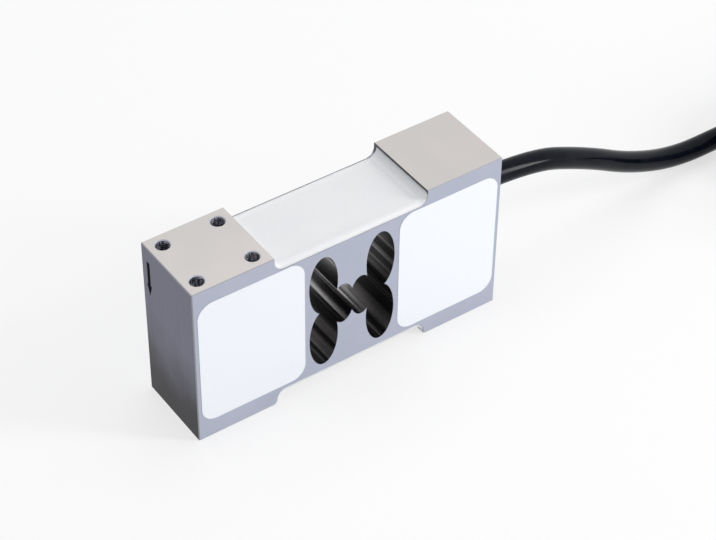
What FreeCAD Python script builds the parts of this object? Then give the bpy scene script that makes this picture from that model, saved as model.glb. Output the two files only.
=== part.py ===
# Single point load cell: a milled aluminium beam with four strain gauges, two tapped bolt patterns and a cable.
# Millimetres. X runs along the beam, from the loaded end (-X) to the fixed end with the cable (+X).
# The two labels are on the -Y face, +Z is up, and the origin is under the middle of the beam.
import FreeCAD, Part
import math
import os
import re
import Sketcher
from FreeCAD import Vector

SIZES = {
    # the milled beam
    "body_length": 150,
    "body_thickness": 38.1,
    "body_height": 80,
    "edge_chamfer": 0.4,
    "end_block_length": 38,
    "recess_depth": 7,
    "recess_fillet": 4.5,
    "foot_corner": 2,
    # the cutout: four tall lobes, two waist holes between them and a slot that joins them
    "lobe_spacing_along": 28,
    "lobe_width": 14,
    "lobe_crossing": 0.7,
    "gauge_wall": 3.7,
    "waist_spacing": 9.2,
    "waist_width": 11.2,
    "waist_height": 20.8,
    "link_height": 5,
    # the tapped holes, on top at the loaded end and underneath at the fixed end
    "bolt_end_distance": 6.3,
    "bolt_spacing_along": 25.4,
    "bolt_spacing_across": 25.4,
    "thread_width": 6,
    "thread_depth": 20,
    "drill_point_angle": 118,
    "countersink_width": 6.8,
    "countersink_angle": 90,
    # the drilled ways for the cable and for the gauge wires
    "cable_exit_height": 53,
    "cable_bore_width": 12.4,
    "bore_past_passage": 2,
    "passage_end_gap": 8,
    "passage_width": 5,
    # the engraved load arrow on the loaded end
    "arrow_length": 18,
    "arrow_shaft_width": 2.2,
    "arrow_head_width": 3.8,
    "arrow_head_length": 6,
    "arrow_depth": 0.3,
    "arrow_back_distance": 5,
    "arrow_top_distance": 7,
    # the two labels
    "label_width": 49.8,
    "label_corner": 7,
    "label_thickness": 0.2,
    "label_end_margin": 2,
    "label_foot_margin": 9.2,
    "label_head_margin": 7.6,
    # the strain gauges
    "carrier_length": 11,
    "carrier_width": 8,
    "carrier_thickness": 0.15,
    "grid_thickness": 0.05,
    "strip_length": 5,
    "strip_width": 0.3,
    "strip_pitch": 0.55,
    "strip_count": 8,
    "loop_length": 0.4,
    "tab_length": 1.6,
    "tab_width": 1.4,
    "tab_spacing": 4,
    # the terminal board between the two top gauges
    "board_length": 12,
    "board_width": 30,
    "board_thickness": 0.6,
    "pad_length": 1.6,
    "pad_width": 1.4,
    "pad_thickness": 0.05,
    "pad_inset": 1.8,
    "inner_lead_row": 6,
    "outer_lead_row": 8.5,
    "inner_core_row": 11,
    "outer_core_row": 13.5,
    "resistor_length": 2,
    "resistor_width": 1.25,
    "resistor_height": 0.5,
    "resistor_spacing": 9,
    # the wires inside
    "lead_diameter": 0.4,
    "core_diameter": 0.9,
    "wire_gap": 0.02,
    "wire_bend": 0.6,
    "core_bend": 1.6,
    "core_pitch": 1,
    "lead_pitch": 0.8,
    "riser_setback": 1.6,
    "core_setback": 0.6,
    "core_stagger": 0.5,
    "fan_length": 7,
    "climb_length": 1.6,
    "climb_board_gap": 0.4,
    # the poured coatings over the gauges
    "coating_thickness": 1.8,
    "coating_edge": 0.7,
    "meniscus_run": 3.2,
    "meniscus_radius": 4,
    # the cable, its grommet and the sealant in its bore
    "cable_diameter": 10,
    "grommet_gap": 0.1,
    "grommet_stem_length": 9,
    "grommet_flange_width": 16.4,
    "grommet_flange_thickness": 2.5,
    "grommet_nose_width": 13.8,
    "grommet_nose_length": 5.5,
    "sealant_length": 18,
    # the stored length of cable: a hank of long turns that lie one on another
    "fold_radius": 30,
    "hank_run_length": 130,
    "hank_turns": 3,
    "turn_pitch": 10.1,
    "hank_margin": 0.15,
    "hank_corner": 2.5,
    "hank_entry_length": 27,
    "hank_end_length": 37,
    "tie_width": 4.5,
    "tie_thickness": 1.2,
    "tie_gap": 0.15,
    "tie_head": 6,
    # the bare end of the cable
    "sleeve_length": 14,
    "sleeve_wall": 0.6,
    "sleeve_gap": 0.05,
    "sleeve_overhang": 3,
    "tail_core_diameter": 1.4,
    "tail_core_offset": 1.6,
    "tail_core_length": 33,
    "shield_diameter": 0.9,
    "shield_length": 26,
}

# The cable's free run, from the end of its jacket in the bore to the hank on the floor.
CABLE_ROUTE = [
    (64, 0, 53),
    (104, 0, 53),
    (139, 2, 37),
    (170, 4, 18),
    (200, 6, 6.5),
    (230, 6, 6.5),
]

# Lengths that follow from the sizes: the lobes' height, half the recess, the wire passage's place, the bore's depth.
LOBE_HEIGHT = "(body_height / 2 - recess_depth - gauge_wall + lobe_crossing)"
RECESS_HALF = "(body_length / 2 - end_block_length)"
PASSAGE = f"({RECESS_HALF} - passage_end_gap)"
BORE_DEPTH = f"(body_length / 2 - {PASSAGE} + bore_past_passage)"

# Each core of the bare end: its place in the jacket's square of cores, and how far its tip lies aside and below.
TAIL_CORES = {
    "red": ((1, 1), (13, 9)),
    "black": ((-1, 1), (-12, 8)),
    "green": ((1, -1), (5, 12)),
    "white": ((-1, -1), (-5, 13)),
}
SHIELD_TIP = (2, 8)
# The corners of a bare wire's path, as shares of its length and of its tip's distances aside and below.
TAIL_STEPS = [(0.28, 0, 0), (0.64, 0.35, 0.25), (1, 1, 1)]
# The places of the cores side by side, counted in pitches from the middle.
CORE_ROWS = {"red": -1.5, "black": -0.5, "green": 0.5, "white": 1.5}
SIDES = {"live": -1, "fixed": 1}
# The share of a run that an arc of a wire's or cable's path may use at each of the run's ends.
ARC_SHARE = 0.45
# How far a swept tube's volume may be from its section times its length.
TUBE_TOLERANCE = 0.002
# How near a point lies to a wall that it is on.
ON_WALL = 1e-4

doc = FreeCAD.newDocument("LoadCell")
sheet = doc.addObject("Spreadsheet::Sheet", "Sizes")
nodes = {}


def fill_sheet():
    for row, (name, number) in enumerate(SIZES.items(), 1):
        sheet.set(f"A{row}", name)
        sheet.set(f"B{row}", str(number))
        sheet.setAlias(f"B{row}", name)
    doc.recompute()


def value(text):
    """The number that an expression of the sheet's names gives."""
    return float(sheet.evalExpression(text))


def bound(text):
    """The same expression as an object outside the sheet writes it."""
    return re.sub(r"[a-z_]+", lambda word: f"Sizes.{word[0]}" if word[0] in SIZES else word[0], text)


def bind(thing, **properties):
    for name, text in properties.items():
        thing.setExpression(name, bound(text))


def place(thing, x="0", y="0", z="0"):
    for axis, text in zip("xyz", (x, y, z)):
        thing.setExpression(f"Placement.Base.{axis}", bound(text))


def keep(name, thing):
    """Marks an object of the document as a finished piece."""
    thing.Label = name
    nodes[name] = thing
    return thing


def unit(vector):
    return Vector(vector).normalize()


# Part primitives, all sized from the sheet


def box(name, length, width, height, x, y, z):
    thing = doc.addObject("Part::Box", name)
    bind(thing, Length=length, Width=width, Height=height)
    place(thing, x, y, z)
    return thing


def cylinder_along_x(name, radius, height, x, z):
    thing = doc.addObject("Part::Cylinder", name)
    thing.Placement.Rotation = FreeCAD.Rotation(Vector(0, 1, 0), 90)
    bind(thing, Radius=radius, Height=height)
    place(thing, x, "0", z)
    return thing


def fused(name, things):
    thing = doc.addObject("Part::MultiFuse", name)
    thing.Shapes = things
    return thing


def cut(name, base, tool):
    thing = doc.addObject("Part::Cut", name)
    thing.Base = base
    thing.Tool = tool
    return thing


def group(name, things):
    thing = doc.addObject("Part::Compound", name)
    thing.Links = things
    return thing


# Tubes along straight runs with tangent arcs


def rounded_path(points, bend=None):
    """The edges of a route, the radii of its arcs and its length. bend is the largest radius a bend may have."""
    corners = [Vector(*point) for point in points]
    runs = [after - before for before, after in zip(corners, corners[1:])]
    edges, radii, start = [], [], corners[0]
    for before, corner, after in zip(runs, corners[1:], runs[1:]):
        turn = before.getAngle(after)
        radius = ARC_SHARE * min(before.Length, after.Length) / math.tan(turn / 2)
        radius = min(radius, bend or radius)
        reach = radius * math.tan(turn / 2)
        first, last = corner - unit(before) * reach, corner + unit(after) * reach
        inward = unit(unit(after) - unit(before))
        middle = corner + inward * (radius / math.cos(turn / 2) - radius)
        edges += [Part.LineSegment(start, first).toShape(), Part.Arc(first, middle, last).toShape()]
        radii.append(radius)
        start = last
    edges.append(Part.LineSegment(start, corners[-1]).toShape())
    return edges, radii, sum(edge.Length for edge in edges)


def tube_shape(points, diameter, bend=None, say=None):
    edges, radii, length = rounded_path(points, bend)
    first = Vector(*points[0])
    ring = Part.makeCircle(diameter / 2, first, Vector(*points[1]) - first)
    shape = Part.Wire(edges).makePipeShell([Part.Wire([ring])], True, False)
    section = math.pi * diameter**2 / 4
    if abs(shape.Volume - section * length) > TUBE_TOLERANCE * section * length:
        raise ValueError(f"a tube holds {shape.Volume:.2f} mm3, and its section and length give {section * length:.2f}")
    if say:
        print(say, f"length {length:.1f} mm, radii", [round(radius, 1) for radius in radii])
    return shape


def tube(name, points, diameter, bend=None, say=None):
    thing = doc.addObject("Part::Feature", name)
    thing.Shape = tube_shape(points, diameter, bend, say)
    return thing


# PartDesign helpers


def plane(body, role):
    return next(feature for feature in body.Origin.OriginFeatures if feature.Role == role)


def new_sketch(body, name, role, offset="0"):
    """A sketch on one of the body's origin planes, moved along the plane's normal by offset."""
    sketch = body.newObject("Sketcher::SketchObject", name)
    sketch.AttachmentSupport = [(plane(body, role), "")]
    sketch.MapMode = "FlatFace"
    sketch.setExpression("AttachmentOffset.Base.z", bound(offset))
    return sketch


def fix(sketch, geometry, point, x, y, name):
    """Ties a point of the sketch to its origin by two expressions."""
    for kind, text in (("DistanceX", x), ("DistanceY", y)):
        at = sketch.addConstraint(Sketcher.Constraint(kind, -1, 1, geometry, point, value(text)))
        sketch.renameConstraint(at, f"{name}_{kind[-1].lower()}")
        sketch.setExpression(f"Constraints.{name}_{kind[-1].lower()}", bound(text))


def polygon(sketch, corners):
    """A closed outline through corners, each a pair of expressions."""
    at = [Vector(value(x), value(y), 0) for x, y in corners]
    first = sketch.GeometryCount
    count = len(corners)
    for k in range(count):
        sketch.addGeometry(Part.LineSegment(at[k], at[(k + 1) % count]), False)
    for k in range(count):
        sketch.addConstraint(Sketcher.Constraint("Coincident", first + k, 2, first + (k + 1) % count, 1))
    for k, (x, y) in enumerate(corners):
        fix(sketch, first + k, 1, x, y, f"corner_{first + k}")


def rectangle(sketch, left, right, bottom, top):
    polygon(sketch, [(left, bottom), (right, bottom), (right, top), (left, top)])


def circle(sketch, x, y, radius):
    at = sketch.addGeometry(Part.Circle(Vector(value(x), value(y), 0), Vector(0, 0, 1), value(radius)), False)
    fix(sketch, at, 3, x, y, f"circle_{at}")
    last = sketch.addConstraint(Sketcher.Constraint("Radius", at, value(radius)))
    sketch.renameConstraint(last, f"radius_{at}")
    sketch.setExpression(f"Constraints.radius_{at}", bound(radius))


def tall_ellipse(sketch, x, y, width, height):
    """An ellipse whose long axis stands upright."""
    centre = Vector(value(x), value(y), 0)
    top, side = centre + Vector(0, value(height) / 2, 0), centre + Vector(value(width) / 2, 0, 0)
    at = sketch.addGeometry(Part.Ellipse(top, side, centre), False)
    sketch.exposeInternalGeometry(at)
    fix(sketch, at, 3, x, y, f"ellipse_{at}")
    sketch.addConstraint(Sketcher.Constraint("Vertical", at + 1))
    for axis, text, label in ((at + 1, height, "height"), (at + 2, width, "width")):
        last = sketch.addConstraint(Sketcher.Constraint("Distance", axis, 1, axis, 2, value(text)))
        sketch.renameConstraint(last, f"{label}_{at}")
        sketch.setExpression(f"Constraints.{label}_{at}", bound(text))


def removed(feature, least):
    """Stops the build if a cut took away less than it should."""
    doc.recompute()
    before = feature.BaseFeature.Shape.Volume
    if before - feature.Shape.Volume < least:
        raise ValueError(f"{feature.Name} took away {before - feature.Shape.Volume:.1f} mm3")


def pad(body, sketch, name, length, symmetric=False):
    feature = body.newObject("PartDesign::Pad", name)
    feature.Profile = sketch
    feature.SideType = "Symmetric" if symmetric else "One side"
    bind(feature, Length=length)
    doc.recompute()
    return feature


def pocket(body, sketch, name, length=None, reverse=False, least=0.0):
    """A pocket of a length, or through everything both ways. least is the volume that it must take away."""
    feature = body.newObject("PartDesign::Pocket", name)
    feature.Profile = sketch
    feature.Reversed = reverse
    if length:
        feature.Type = "Length"
        bind(feature, Length=length)
    else:
        feature.Type = "ThroughAll"
        feature.SideType = "Symmetric"
    removed(feature, least)
    return feature


def mirrored(body, feature, name, role):
    mirror = body.newObject("PartDesign::Mirrored", name)
    mirror.Originals = [feature]
    mirror.MirrorPlane = (plane(body, role), [""])
    body.Tip = mirror
    removed(mirror, 0.0)
    return mirror


def edges_where(feature, test):
    """The names of a feature's edges whose two ends and middle all pass a test."""
    found = []
    for number, edge in enumerate(feature.Shape.Edges, 1):
        middle = edge.valueAt((edge.FirstParameter + edge.LastParameter) / 2)
        if all(test(point) for point in [vertex.Point for vertex in edge.Vertexes] + [middle]):
            found.append(f"Edge{number}")
    return found


def round_or_chamfer(body, kind, name, feature, edges, **sizes):
    dressed = body.newObject(f"PartDesign::{kind}", name)
    dressed.Base = (feature, edges)
    bind(dressed, **sizes)
    doc.recompute()
    return dressed


def tapped_holes(body, name, middle_x, top):
    """Four countersunk holes as wide as their threads, down from the top face or up from the bottom one."""
    level = "body_height / 2" if top else "-body_height / 2"
    sketch = new_sketch(body, f"{name}_centres", "XY_Plane", level)
    for along in (-1, 1):
        for across in (-1, 1):
            circle(
                sketch,
                f"{middle_x} + {along} * bolt_spacing_along / 2",
                f"{across} * bolt_spacing_across / 2",
                "thread_width / 2",
            )
    holes = body.newObject("PartDesign::Hole", name)
    doc.recompute()
    holes.Profile = sketch
    holes.ThreadType = "None"
    holes.DepthType = "Dimension"
    holes.DrillPoint = "Angled"
    holes.HoleCutType = "Countersink"
    holes.HoleCutCustomValues = True
    holes.Reversed = not top
    bind(
        holes,
        Diameter="thread_width",
        Depth="thread_depth",
        DrillPointAngle="drill_point_angle",
        HoleCutDiameter="countersink_width",
        HoleCutCountersinkAngle="countersink_angle",
    )
    removed(holes, 4 * math.pi * value("(thread_width / 2) ^ 2 * thread_depth"))
    return holes


def arrow_outline(sketch):
    """A load arrow that points down, seen along +X on the loaded end's face."""
    middle = "(body_thickness / 2 - arrow_back_distance)"
    tail = "(body_height / 2 - arrow_top_distance)"
    neck = f"({tail} - arrow_length + arrow_head_length)"
    tip = f"({tail} - arrow_length)"
    half, barb = "arrow_shaft_width / 2", "arrow_head_width / 2"
    right = [(f"{middle} + {half}", tail), (f"{middle} + {half}", neck), (f"{middle} + {barb}", neck)]
    left = [(f"{middle} - {barb}", neck), (f"{middle} - {half}", neck), (f"{middle} - {half}", tail)]
    polygon(sketch, right + [(middle, tip)] + left)


# The sub-parts


def spring_element():
    """The beam, milled from one bar. Its own body stands about the bar's middle height."""
    body = doc.addObject("PartDesign::Body", "spring_element")
    place(body, z="body_height / 2")

    outline = new_sketch(body, "bar_outline", "XZ_Plane")
    rectangle(outline, "-body_length / 2", "body_length / 2", "-body_height / 2", "body_height / 2")
    pad(body, outline, "bar", "body_thickness", symmetric=True)

    recess = new_sketch(body, "recess_outline", "XZ_Plane")
    rectangle(
        recess, f"-{RECESS_HALF}", RECESS_HALF, "body_height / 2 - recess_depth", "body_height / 2 + recess_depth"
    )
    top_recess = pocket(body, recess, "top_recess", least=value(f"{RECESS_HALF} * recess_depth * body_thickness"))
    recesses = mirrored(body, top_recess, "bottom_recess", "XY_Plane")
    inner, floor = value(RECESS_HALF), value("body_height / 2 - recess_depth")

    def in_corner(point):
        return abs(abs(point.x) - inner) < ON_WALL and abs(abs(point.z) - floor) < ON_WALL

    corners = edges_where(recesses, in_corner)
    filleted = round_or_chamfer(body, "Fillet", "recess_fillets", recesses, corners, Radius="recess_fillet")
    underside = -value("body_height / 2")

    def on_foot_corner(point):
        return abs(abs(point.x) - inner) < ON_WALL and abs(point.z - underside) < ON_WALL

    foot_edges = edges_where(filleted, on_foot_corner)
    round_or_chamfer(body, "Fillet", "foot_corners", filleted, foot_edges, Radius="foot_corner")

    lobes = new_sketch(body, "lobe_outlines", "XZ_Plane")
    lobe_level = f"body_height / 2 - recess_depth - gauge_wall - {LOBE_HEIGHT} / 2"
    for side in (-1, 1):
        tall_ellipse(lobes, f"{side} * lobe_spacing_along / 2", lobe_level, "lobe_width", LOBE_HEIGHT)
    top_lobes = pocket(body, lobes, "top_lobes", least=value(f"lobe_width * {LOBE_HEIGHT} / 2 * body_thickness"))
    mirrored(body, top_lobes, "bottom_lobes", "XY_Plane")
    waist = new_sketch(body, "waist_outline", "XZ_Plane")
    tall_ellipse(waist, "waist_spacing / 2", "0", "waist_width", "waist_height")
    mirrored(body, pocket(body, waist, "waist_hole"), "other_waist_hole", "YZ_Plane")
    link = new_sketch(body, "link_outline", "XZ_Plane")
    rectangle(link, "-lobe_spacing_along / 2", "lobe_spacing_along / 2", "-link_height / 2", "link_height / 2")
    pocket(body, link, "link_slot")

    bolts = "(body_length / 2 - bolt_end_distance - bolt_spacing_along / 2)"
    tapped_holes(body, "load_holes", f"-{bolts}", top=True)
    tapped_holes(body, "base_holes", bolts, top=False)

    bore = new_sketch(body, "cable_bore_outline", "YZ_Plane", "body_length / 2")
    circle(bore, "0", "cable_exit_height - body_height / 2", "cable_bore_width / 2")
    pocket(body, bore, "cable_bore", BORE_DEPTH, least=value(f"cable_bore_width ^ 2 / 2 * {BORE_DEPTH}"))
    passage = new_sketch(body, "wire_passage_outline", "XY_Plane")
    circle(passage, PASSAGE, "0", "passage_width / 2")
    solid_height = "(body_height - 2 * recess_depth - cable_bore_width)"
    pocket(body, passage, "wire_passage", least=value(f"passage_width ^ 2 / 2 * {solid_height}"))

    arrow = new_sketch(body, "arrow_outline", "YZ_Plane", "-body_length / 2")
    arrow_outline(arrow)
    least = value("arrow_shaft_width * (arrow_length - arrow_head_length) * arrow_depth")
    engraved = pocket(body, arrow, "engraved_arrow", "arrow_depth", reverse=True, least=least)

    walls = [value("body_length / 2"), value("body_thickness / 2"), value("body_height / 2")]

    def on_two_walls(point):
        return sum(abs(abs(x) - wall) < ON_WALL for x, wall in zip(point, walls)) >= 2

    round_or_chamfer(
        body, "Chamfer", "edge_chamfers", engraved, edges_where(engraved, on_two_walls), Size="edge_chamfer"
    )
    return keep("spring_element", body)


def load_arrow():
    """The dark filling of the engraved arrow."""
    body = doc.addObject("PartDesign::Body", "load_arrow")
    place(body, z="body_height / 2")
    sketch = new_sketch(body, "arrow_fill_outline", "YZ_Plane", "-body_length / 2")
    arrow_outline(sketch)
    pad(body, sketch, "arrow_fill", "arrow_depth")
    return keep("load_arrow", body)


def labels():
    """Two blank labels with round corners, stuck on the front face."""
    places = {
        "label_left": "-body_length / 2 + label_end_margin",
        "label_right": "body_length / 2 - label_end_margin - label_width",
    }
    for name, x in places.items():
        sheet_of_film = box(
            f"{name}_blank",
            "label_width",
            "label_thickness",
            "body_height - label_foot_margin - label_head_margin",
            x,
            "-body_thickness / 2 - label_thickness",
            "label_foot_margin",
        )
        doc.recompute()
        upright = [
            number
            for number, edge in enumerate(sheet_of_film.Shape.Edges, 1)
            if abs(edge.tangentAt(edge.FirstParameter).y) > 0.99
        ]
        label = doc.addObject("Part::Fillet", name)
        label.Base = sheet_of_film
        label.Edges = [(number, value("label_corner"), value("label_corner")) for number in upright]
        keep(name, label)


def gauge_level(top, depth):
    """The height of a layer whose far face is depth away from the recess floor, above it or below it."""
    if top:
        return f"(body_height - recess_depth + {depth})"
    return f"(recess_depth - ({depth}))"


def gauge_grid(name, side, top):
    """A foil grid: parallel strips joined in a zigzag, with two solder tabs towards the wires."""
    toward = -side if top else 1
    start = side * value("lobe_spacing_along / 2") - toward * value("strip_length / 2 + tab_length / 2")
    level = value(gauge_level(top, "carrier_thickness" if top else "carrier_thickness + grid_thickness"))
    thick, width, pitch = value("grid_thickness"), value("strip_width"), value("strip_pitch")
    long, loop, count = value("strip_length"), value("loop_length"), int(value("strip_count"))

    def foil(x0, x1, y0, y1):
        low, high = sorted((start + toward * x0, start + toward * x1))
        return Part.makeBox(high - low, y1 - y0, thick, Vector(low, y0, level))

    rows = [(k - (count - 1) / 2) * pitch for k in range(count)]
    pieces = []
    for k, row in enumerate(rows):
        reach = long + loop if k in (0, count - 1) else long
        pieces.append(foil(0, reach, row - width / 2, row + width / 2))
    for k in range(count - 1):
        x0, x1 = (0, loop) if k % 2 == 0 else (long - loop, long)
        pieces.append(foil(x0, x1, rows[k] - width / 2, rows[k + 1] + width / 2))
    for row in (-value("tab_spacing / 2"), value("tab_spacing / 2")):
        half = value("tab_width / 2")
        pieces.append(foil(long + loop, long + loop + value("tab_length"), row - half, row + half))
    grid = doc.addObject("Part::Feature", name)
    grid.Shape = pieces[0].fuse(pieces[1:]).removeSplitter()
    return keep(name, grid), start + toward * (long + loop + value("tab_length / 2"))


def gauges():
    """A gauge over and under each lobe. Returns where each one's solder tabs are along the beam."""
    tabs = {}
    for top in (True, False):
        for side_name, side in SIDES.items():
            where = f"{'top' if top else 'bottom'}_{side_name}"
            carrier = box(
                f"gauge_carrier_{where}",
                "carrier_length",
                "carrier_width",
                "carrier_thickness",
                f"{side} * lobe_spacing_along / 2 - carrier_length / 2",
                "-carrier_width / 2",
                gauge_level(top, "0" if top else "carrier_thickness"),
            )
            keep(f"gauge_carrier_{where}", carrier)
            tabs[where] = gauge_grid(f"gauge_grid_{where}", side, top)[1]
    return tabs


def terminal_board():
    """A thin board in the middle of the top recess, with its solder pads and three trimming resistors."""
    floor = "body_height - recess_depth"
    board = box(
        "terminal_board",
        "board_length",
        "board_width",
        "board_thickness",
        "-board_length / 2",
        "-board_width / 2",
        floor,
    )
    keep("terminal_board", board)
    rows = ["tab_spacing / 2", "inner_lead_row", "outer_lead_row", "inner_core_row", "outer_core_row"]
    wanted = [("board_length / 2 - pad_inset", row) for row in rows]
    wanted.append(("-board_length / 2 + pad_inset", rows[0]))
    pads = []
    for x, row in wanted:
        for across in (-1, 1):
            pads.append(
                box(
                    f"pad_{len(pads)}",
                    "pad_length",
                    "pad_width",
                    "pad_thickness",
                    f"{x} - pad_length / 2",
                    f"{across} * ({row}) - pad_width / 2",
                    f"{floor} + board_thickness",
                )
            )
    keep("terminal_pads", group("terminal_pads", pads))
    for step, name in enumerate(("resistor_zero", "resistor_span", "resistor_temperature"), -1):
        resistor = box(
            name,
            "resistor_length",
            "resistor_width",
            "resistor_height",
            "-resistor_length / 2",
            f"{step} * resistor_spacing - resistor_width / 2",
            f"{floor} + board_thickness",
        )
        keep(name, resistor)


def wires(tabs):
    """The gauge leads of both faces, and the four cores from the cable to the terminal board."""
    floor, under = value("body_height - recess_depth"), value("recess_depth")
    thin, gap = value("lead_diameter"), value("wire_gap")
    on_tab = value("carrier_thickness + grid_thickness + wire_gap + lead_diameter / 2")
    on_pad = value("board_thickness + pad_thickness + wire_gap")
    pad_x = value("board_length / 2 - pad_inset")
    climbed = value("board_length / 2 + climb_board_gap")
    foot = climbed + value("climb_length")
    row = value("tab_spacing / 2")

    top_leads = []
    for side_name, side in SIDES.items():
        tab = tabs[f"top_{side_name}"]
        for across in (-1, 1):
            low, high = floor + on_tab, floor + on_pad + thin / 2
            path = [
                (tab, across * row, low),
                (side * foot, across * row, low),
                (side * climbed, across * row, high),
                (side * pad_x, across * row, high),
            ]
            top_leads.append(tube(f"top_lead_{side_name}_{across}", path, thin, value("wire_bend")))
    keep("top_gauge_leads", group("top_gauge_leads", top_leads))

    riser_x = value(f"{PASSAGE} - riser_setback")
    fan_x = riser_x - value("fan_length")
    up = floor + gap + thin / 2
    bottom_leads = []
    for side_name, pitch_share, top_row in (("fixed", 0.5, "inner_lead_row"), ("live", 1.5, "outer_lead_row")):
        for across in (-1, 1):
            riser_y, outer = across * pitch_share * value("lead_pitch"), across * value(top_row)
            level = under - on_tab
            path = [(tabs[f"bottom_{side_name}"], across * row, level)]
            if side_name == "live":
                bypass = across * value("inner_lead_row")
                path += [(0, bypass, level), (fan_x, bypass, level)]
            path += [(riser_x, riser_y, level), (riser_x, riser_y, up), (fan_x, outer, up)]
            path += [(foot, outer, up)]
            path += [(x, outer, floor + on_pad + thin / 2) for x in (climbed, pad_x)]
            bottom_leads.append(tube(f"bottom_lead_{side_name}_{across}", path, thin, value("wire_bend")))
    keep("bottom_gauge_leads", group("bottom_gauge_leads", bottom_leads))

    thick = value("core_diameter")
    high = floor + on_pad + thick / 2
    start = CABLE_ROUTE[0]
    for colour, place_in_row in CORE_ROWS.items():
        is_outer = abs(place_in_row) > 1
        y = place_in_row * value("core_pitch")
        outer = math.copysign(value("outer_core_row" if is_outer else "inner_core_row"), place_in_row)
        core_x = value(f"{PASSAGE} + core_setback {'+' if is_outer else '-'} core_stagger")
        path = [
            (start[0], y, start[2]),
            (core_x, y, start[2]),
            (core_x, y, high),
            (core_x - value("fan_length"), outer, high),
            (pad_x, outer, high),
        ]
        keep(f"core_{colour}", tube(f"core_{colour}", path, thick, value("core_bend")))


def coating(name, top, beam, covered):
    """Silicone poured into a recess: level in the middle, drawn up at both end walls, with soft long edges."""
    body = doc.addObject("PartDesign::Body", f"{name}_pour")
    if top:
        place(body, z="body_height - recess_depth")
    else:
        body.Placement.Rotation = FreeCAD.Rotation(Vector(1, 0, 0), 180)
        place(body, z="recess_depth")
    wall, level = RECESS_HALF, "coating_thickness"
    brim = f"({level} + meniscus_radius - sqrt(meniscus_radius ^ 2 - meniscus_run ^ 2))"
    sketch = new_sketch(body, f"{name}_outline", "XZ_Plane")
    corners = [
        (f"-{wall}", brim),
        (f"-{wall}", "0"),
        (wall, "0"),
        (wall, brim),
        (f"{wall} - meniscus_run", level),
        (f"-{wall} + meniscus_run", level),
    ]
    at = [Vector(value(x), value(z), 0) for x, z in corners]
    for start, end in zip(at[:3], at[1:4]):
        sketch.addGeometry(Part.LineSegment(start, end), False)
    radius, lean = value("meniscus_radius"), math.asin(value("meniscus_run / meniscus_radius"))
    down, turn = 1.5 * math.pi, Vector(0, 0, 1)
    right = Part.Circle(at[4] + Vector(0, radius, 0), turn, radius)
    left = Part.Circle(at[5] + Vector(0, radius, 0), turn, radius)
    sketch.addGeometry(Part.ArcOfCircle(right, down, down + lean), False)
    sketch.addGeometry(Part.LineSegment(at[4], at[5]), False)
    sketch.addGeometry(Part.ArcOfCircle(left, down - lean, down), False)
    for one, one_end, other, other_end in (
        (0, 2, 1, 1),
        (1, 2, 2, 1),
        (2, 2, 3, 2),
        (3, 1, 4, 1),
        (4, 2, 5, 2),
        (5, 1, 0, 1),
    ):
        sketch.addConstraint(Sketcher.Constraint("Coincident", one, one_end, other, other_end))
    for number, (geometry, point) in enumerate(((0, 1), (1, 1), (2, 1), (3, 2), (4, 1), (5, 2))):
        fix(sketch, geometry, point, *corners[number], f"corner_{number}")
    for arc in (3, 5):
        last = sketch.addConstraint(Sketcher.Constraint("Radius", arc, radius))
        sketch.renameConstraint(last, f"meniscus_{arc}")
        sketch.setExpression(f"Constraints.meniscus_{arc}", bound("meniscus_radius"))
    pour = pad(body, sketch, f"{name}_blank", "body_thickness", symmetric=True)
    rim, surface = value("body_thickness / 2"), value(level)

    def on_long_edge(point):
        return abs(abs(point.y) - rim) < ON_WALL and abs(point.z - surface) < ON_WALL

    long_edges = edges_where(pour, on_long_edge)
    round_or_chamfer(body, "Fillet", f"{name}_soft_edges", pour, long_edges, Radius="coating_edge")
    solid = doc.addObject("Part::Feature", name)
    solid.Shape = body.Shape.cut([thing.Shape for thing in [beam, *covered]])
    return keep(name, solid)


def sealant():
    """The plug of sealant that holds the jacket's end and the four cores in the bore."""
    jacket_end, z = CABLE_ROUTE[0][0], "cable_exit_height"
    stem_end = "body_length / 2 - grommet_stem_length"
    inner_end = f"{jacket_end} - sealant_length"
    plug = cylinder_along_x("sealant_plug", "cable_bore_width / 2", f"{stem_end} - ({inner_end})", inner_end, z)
    jacket = cylinder_along_x("sealed_jacket", "cable_diameter / 2", "body_length", f"{jacket_end}", z)
    doc.recompute()
    solid = doc.addObject("Part::Feature", "bore_sealant")
    solid.Shape = plug.Shape.cut([jacket.Shape] + [nodes[f"core_{colour}"].Shape for colour in CORE_ROWS])
    return keep("bore_sealant", solid)


def grommet():
    """The rubber grommet: a stem in the bore, a flange on the end face and a tapered nose round the cable."""
    z = "cable_exit_height"
    stem = cylinder_along_x(
        "grommet_stem", "cable_bore_width / 2", "grommet_stem_length", "body_length / 2 - grommet_stem_length", z
    )
    flange = cylinder_along_x(
        "grommet_flange", "grommet_flange_width / 2", "grommet_flange_thickness", "body_length / 2", z
    )
    nose = doc.addObject("Part::Cone", "grommet_nose")
    nose.Placement.Rotation = FreeCAD.Rotation(Vector(0, 1, 0), 90)
    bind(
        nose,
        Radius1="grommet_nose_width / 2",
        Radius2="(grommet_nose_width + cable_diameter) / 4",
        Height="grommet_nose_length",
    )
    place(nose, "body_length / 2 + grommet_flange_thickness", "0", z)
    way = cylinder_along_x(
        "grommet_way",
        "cable_diameter / 2 + grommet_gap",
        "grommet_stem_length + grommet_flange_thickness + grommet_nose_length",
        "body_length / 2 - grommet_stem_length",
        z,
    )
    return keep("cable_grommet", cut("cable_grommet", fused("grommet_outside", [stem, flange, nose]), way))


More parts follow.
